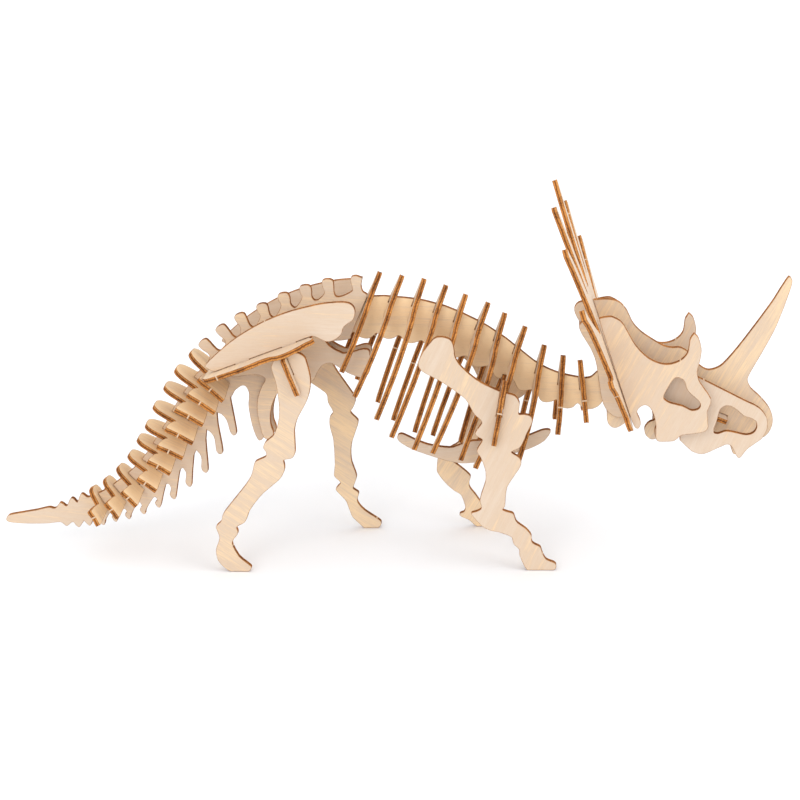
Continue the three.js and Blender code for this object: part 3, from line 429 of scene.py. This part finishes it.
def laser_cut_plate(name, node, materials):
    """One plywood plate built round a CAD node's outline, which it replaces."""
    corners = triangle_corners(node.data)
    axes = plate_frame(corners)
    loops, top, bottom = boundary_loops(corners, axes)
    half = (top - bottom) / 2
    built = PlateMesh()
    outlines, starts = [], []
    for n, points in enumerate(loops):
        points = smoothed(points)
        arcs = tab_arcs(name, points) if n == 0 else []
        points, tabs = with_tabs(points, arcs)
        starts.append(built.add_loop(points, tabs, half))
        outlines.append(inset(points, SCORCH_WIDTH))
    built.add_faces(outlines, starts)
    mesh = bpy.data.meshes.new("cut_" + name)
    mesh.from_pydata([tuple(c * MM for c in place) for place in built.places], [], built.faces)
    for polygon, slot in zip(mesh.polygons, built.slots):
        polygon.material_index = slot
        polygon.use_smooth = True
    add_attributes(mesh, built, name)
    mesh.set_sharp_from_angle(angle=SHADING_ANGLE)
    for material in materials:
        mesh.materials.append(material)
    plate = bpy.data.objects.new("cut_" + name, mesh)
    bpy.context.scene.collection.objects.link(plate)
    across, up, through = (Vector(axis) for axis in axes)
    basis = Matrix((across, up, through)).transposed().to_4x4()
    middle = through * ((top + bottom) / 2 * MM)
    plate.matrix_world = Matrix.Translation(middle) @ basis
    return plate


# ---------- materials ----------


class Nodes:
    """Short ways to add and link the nodes of one material."""

    def __init__(self, material):
        material.use_nodes = True
        self.tree = material.node_tree
        self.tree.nodes.clear()

    def add(self, kind, **settings):
        """Adds a shader node and sets its properties."""
        node = self.tree.nodes.new("ShaderNode" + kind)
        for key, value in settings.items():
            setattr(node, key, value)
        return node

    def feed(self, socket, value):
        """Links another node's socket to this one, or sets a plain value on it."""
        if isinstance(value, bpy.types.NodeSocket):
            self.tree.links.new(value, socket)
        else:
            socket.default_value = value

    def math(self, operation, a, b=0.0, c=0.0, clamp=False):
        node = self.add("Math", operation=operation, use_clamp=clamp)
        for socket, value in zip(node.inputs, (a, b, c)):
            self.feed(socket, value)
        return node.outputs[0]

    def attribute(self, name, output="Fac"):
        return self.add("Attribute", attribute_name=name).outputs[output]

    def scaled(self, vector, scale):
        """The vector with each of its coordinates scaled."""
        node = self.add("VectorMath", operation="MULTIPLY")
        self.feed(node.inputs[0], vector)
        node.inputs[1].default_value = scale
        return node.outputs[0]

    def noise(self, vector, scale, detail=2.0, roughness=0.5, distortion=0.0):
        """Noise in cycles a unit of the vector, with a scale for each coordinate."""
        node = self.add("TexNoise")
        self.feed(node.inputs["Vector"], self.scaled(vector, scale))
        node.inputs["Scale"].default_value = 1.0
        node.inputs["Detail"].default_value = detail
        node.inputs["Roughness"].default_value = roughness
        node.inputs["Distortion"].default_value = distortion
        return node.outputs["Fac"]

    def between(self, value, low, high, to_low=0.0, to_high=1.0):
        """The value's place between two numbers, held within them and carried to another range."""
        node = self.add("MapRange", clamp=True)
        for socket, number in zip(node.inputs, (value, low, high, to_low, to_high)):
            self.feed(socket, number)
        return node.outputs[0]

    def ramp(self, value, stops):
        """Colours blended along a value, from stops of place and colour."""
        node = self.add("ValToRGB")
        elements = node.color_ramp.elements
        while len(elements) < len(stops):
            elements.new(0.5)
        for element, (place, colour) in zip(elements, stops):
            element.position = place
            element.color = (*colour, 1)
        self.feed(node.inputs["Fac"], value)
        return node.outputs["Color"]

    def mix(self, share, a, b, blend="MIX"):
        node = self.add("Mix", data_type="RGBA", blend_type=blend)
        self.feed(node.inputs[0], share)
        for socket, value in ((node.inputs[6], a), (node.inputs[7], b)):
            self.feed(socket, value if isinstance(value, bpy.types.NodeSocket) else (*value, 1))
        return node.outputs[2]

    def surface(self, colour, roughness, height, bump_depth, specular):
        """Ends the material in one shader with a bump as deep as bump_depth, in metres."""
        bump = self.add("Bump")
        bump.inputs["Strength"].default_value = 1.0
        bump.inputs["Distance"].default_value = bump_depth
        self.feed(bump.inputs["Height"], height)
        shader = self.add("BsdfPrincipled")
        self.feed(shader.inputs["Base Color"], colour)
        self.feed(shader.inputs["Roughness"], roughness)
        self.feed(shader.inputs["Normal"], bump.outputs["Normal"])
        shader.inputs["Specular IOR Level"].default_value = specular
        output = self.add("OutputMaterial")
        self.tree.links.new(shader.outputs[0], output.inputs["Surface"])


# Colours of the wood, of painted warm bounce light and of the burn, linear
BIRCH_PALE = (0.70, 0.577, 0.465)
BIRCH_CREAM = (0.65, 0.50, 0.37)
# Honey birch is the warm streak colour and also the painted warm bounce light of the shaded body spine and
# tail vertebrae
BIRCH_HONEY_AND_BOUNCE = (0.85, 0.63, 0.39)
SCORCH_TAN = (0.44, 0.21, 0.08)
SCORCH_BROWN = (0.15, 0.055, 0.02)
CHAR = (0.045, 0.017, 0.009)
PORE_BROWN = (0.52, 0.34, 0.19)
FLECK_BROWN = (0.50, 0.31, 0.16)
BARE_FIBRE = (0.70, 0.36, 0.13)
TORN_DARK = (0.52, 0.33, 0.19)
TORN_PALE = (0.78, 0.62, 0.46)

# Through the plate from the lower face at 0 to the upper face at 1: face ply, core ply and face ply
TOASTED_PLIES = [
    (0.02, (0.36, 0.125, 0.03)), (0.16, (0.72, 0.30, 0.075)), (0.34, (0.54, 0.20, 0.045)),
    (0.42, (0.17, 0.052, 0.014)), (0.54, (0.26, 0.082, 0.02)), (0.62, (0.64, 0.255, 0.06)),
    (0.88, (0.78, 0.36, 0.105)), (0.99, (0.42, 0.155, 0.038)),
]
CHARRED_PLIES = [
    (0.03, (0.18, 0.056, 0.015)), (0.2, (0.40, 0.14, 0.034)), (0.36, (0.085, 0.025, 0.009)),
    (0.62, (0.055, 0.018, 0.008)), (0.74, (0.34, 0.115, 0.028)), (0.97, (0.20, 0.064, 0.017)),
]

FLOOR_SHADES = ((0.865, 0.873, 0.89), (0.88, 0.887, 0.902))
SKY_WHITE = (0.985, 0.992, 1.0)


def birch_face(name, warmth):
    """Pale rotary-cut birch: streaky grain, faint growth bands, short pores, a scorched rim, and painted warm
    bounce light where the plate's tone is deep.
    """
    material = bpy.data.materials.new(name)
    n = Nodes(material)
    grain = n.attribute("grain", "Vector")
    clouds = n.noise(grain, (0.018, 0.06, 0), 2.0, 0.5)
    bands = n.noise(grain, (0.02, 0.33, 0), 3.0, 0.55, 0.35)
    streaks = n.noise(grain, (0.09, 1.5, 0), 5.0, 0.66)
    pores = n.between(n.noise(grain, (0.42, 4.6, 0), 3.0, 0.6), 0.57, 0.72)
    flecks = n.between(n.noise(grain, (0.22, 1.5, 0), 1.0, 0.4), 0.66, 0.76)
    # The plate's tone carries painted warm bounce light on the body spine and tail vertebrae, pushing them
    # towards honey
    tone_and_bounce = n.math("MULTIPLY_ADD", n.between(bands, 0.34, 0.68), 0.3, n.attribute("tone_and_bounce"))
    tone_and_bounce = n.math("MULTIPLY_ADD", n.between(streaks, 0.3, 0.7), 0.42, tone_and_bounce)
    tone_and_bounce = n.math("MULTIPLY_ADD", n.between(clouds, 0.35, 0.65), 0.22, tone_and_bounce)
    tone_and_bounce = n.math("ADD", tone_and_bounce, warmth - 0.5)
    wood = n.ramp(tone_and_bounce, [(0, BIRCH_PALE), (0.55, BIRCH_CREAM), (1, BIRCH_HONEY_AND_BOUNCE)])
    wood = n.mix(n.math("MULTIPLY", pores, 0.22), wood, PORE_BROWN)
    wood = n.mix(n.math("MULTIPLY", flecks, 0.16), wood, FLECK_BROWN)
    patchy = n.between(n.noise(grain, (0.55, 0.55, 0), 3.0, 0.6), 0.3, 0.7, 0.42, 1.15)
    rim = n.math("MULTIPLY", n.math("POWER", n.attribute("scorch"), 1.6), patchy, clamp=True)
    wood = n.mix(n.math("MULTIPLY", rim, 0.85, clamp=True), wood, SCORCH_TAN)
    wood = n.mix(n.between(rim, 0.55, 1.05, 0, 0.75), wood, SCORCH_BROWN)
    roughness = n.between(streaks, 0.3, 0.7, 0.58, 0.74)
    height = n.math("SUBTRACT", n.math("MULTIPLY", streaks, 0.6), pores)
    n.surface(wood, roughness, height, 0.00003, 0.22)
    return material


def burnt_edge():
    """Cut edge: a charred core ply between two toasted face plies, streaked across by the beam."""
    material = bpy.data.materials.new("burnt_edge")
    n = Nodes(material)
    grain = n.attribute("grain", "Vector")
    split = n.add("SeparateXYZ")
    n.feed(split.inputs[0], grain)
    wobble = n.noise(grain, (0.16, 0.16, 0), 3.0, 0.6)
    level = n.math("MULTIPLY_ADD", split.outputs[2], 0.4, 0.5)
    level = n.math("ADD", level, n.between(wobble, 0.3, 0.7, -0.12, 0.12))
    toasted = n.ramp(level, TOASTED_PLIES)
    charred = n.ramp(level, CHARRED_PLIES)
    patches = n.between(n.noise(grain, (0.13, 0.13, 0.1), 3.0, 0.6), 0.34, 0.66, -0.4, 0.4)
    speckle = n.between(n.noise(grain, (1.7, 1.7, 1.1), 3.0, 0.7), 0.36, 0.64, -0.42, 0.42)
    share = n.math("ADD", n.math("ADD", patches, speckle), n.attribute("burn"), clamp=True)
    wood = n.mix(share, toasted, charred)
    beam = n.noise(grain, (5.5, 5.5, 0.5), 3.0, 0.6)
    wood = n.mix(n.between(beam, 0.34, 0.6, 0.42, 0), wood, CHAR)
    sparks = n.between(n.noise(grain, (9, 9, 6), 2.0, 0.5), 0.60, 0.72, 0, 0.45)
    wood = n.mix(sparks, wood, BARE_FIBRE)
    torn = n.mix(n.noise(grain, (7, 7, 1.2), 2.0), TORN_DARK, TORN_PALE)
    wood = n.mix(n.attribute("tab"), wood, torn)
    roughness = n.between(beam, 0.3, 0.7, 0.86, 0.66)
    height = n.math("ADD", beam, n.math("MULTIPLY", sparks, 0.8))
    n.surface(wood, roughness, height, 0.00006, 0.08)
    return material


def paper_floor():
    """Pale matt studio floor with the faintest mottle."""
    material = bpy.data.materials.new("studio_floor")
    n = Nodes(material)
    place = n.add("NewGeometry").outputs["Position"]
    mottle = n.noise(place, (3, 3, 3), 3.0)
    colour = n.mix(mottle, *FLOOR_SHADES)
    n.surface(colour, n.between(mottle, 0.3, 0.7, 0.85, 0.95), mottle, 0.0002, 0.1)
    return material


# ---------- studio ----------


def studio_floor():
    """A wide square of floor a hair under the feet."""
    mesh = bpy.data.meshes.new("studio_floor")
    reach, level = FLOOR_REACH, FLOOR_LEVEL
    corners = [(-reach, -reach, level), (reach, -reach, level), (reach, reach, level), (-reach, reach, level)]
    mesh.from_pydata(corners, [], [(0, 1, 2, 3)])
    mesh.materials.append(paper_floor())
    floor = bpy.data.objects.new("studio_floor", mesh)
    bpy.context.scene.collection.objects.link(floor)


def soft_sun(name, place, spread, strength, colour):
    """Even light from the direction of a place, as soft as its spread in degrees."""
    light = bpy.data.lights.new(name, "SUN")
    light.angle = math.radians(spread)
    light.energy = strength
    light.color = colour
    lamp = bpy.data.objects.new(name, light)
    lamp.location = place
    lamp.rotation_euler = (-Vector(place)).to_track_quat("-Z", "Y").to_euler()
    bpy.context.scene.collection.objects.link(lamp)


def studio_light():
    """A white sky and three soft lights, shown without tone mapping."""
    world = bpy.data.worlds.new("studio")
    bpy.context.scene.world = world
    world.use_nodes = True
    background = world.node_tree.nodes["Background"]
    background.inputs["Color"].default_value = (*SKY_WHITE, 1)
    background.inputs["Strength"].default_value = 1.0
    soft_sun("key_light", (-0.45, -1.2, 0.8), 34, 0.7, (1.0, 0.985, 0.965))
    soft_sun("fill_light", (1.3, -0.5, 0.9), 40, 0.95, (1.0, 0.99, 0.975))
    soft_sun("top_light", (0.1, 0.15, 1.5), 60, 0.35, SKY_WHITE)
    bpy.context.scene.view_settings.view_transform = "Standard"
    bpy.context.scene.view_settings.look = "None"


def studio_camera():
    """The camera, turned about the model, raised above it and rolled about its own line of sight."""
    turn, rise, roll = (math.radians(angle) for angle in (CAMERA_TURN, CAMERA_RISE, CAMERA_ROLL))
    ahead = Vector((-math.sin(turn) * math.cos(rise), math.cos(turn) * math.cos(rise), -math.sin(rise)))
    level = Vector((math.cos(turn), math.sin(turn), 0))
    above = level.cross(ahead)
    right = level * math.cos(roll) + above * math.sin(roll)
    up = above * math.cos(roll) - level * math.sin(roll)
    data = bpy.data.cameras.new("camera")
    data.lens = CAMERA_LENS
    data.sensor_width = CAMERA_SENSOR
    data.clip_start, data.clip_end = 0.05, 40
    camera = bpy.data.objects.new("camera", data)
    basis = Matrix((right, up, -ahead)).transposed().to_4x4()
    camera.matrix_world = Matrix.Translation(CAMERA_TARGET - ahead * CAMERA_DISTANCE) @ basis
    bpy.context.scene.collection.objects.link(camera)
    bpy.context.scene.camera = camera


# ---------- the model ----------


def build_model():
    """Replaces every packed plate by a laser-cut one that rides on the same body."""
    slot_of = {part["node"]: part["material_slot"] for part in frame["record"]["subparts"]}
    bodies = frame["record"]["behaviour"]["bodies"]
    body_of = {node: body for body, members in bodies.items() for node in members}
    edge = burnt_edge()
    faces = {"birch_light": birch_face("birch_light", 0.2), "birch_warm": birch_face("birch_warm", 0.32)}
    for name in sorted(frame["nodes"]):
        slot = slot_of[name]
        plate = laser_cut_plate(name, frame["nodes"][name], (faces[slot], edge))
        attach(plate, body_of[name])
        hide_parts(name)


build_model()
studio_floor()
studio_light()
studio_camera()

bpy.context.view_layer.update()
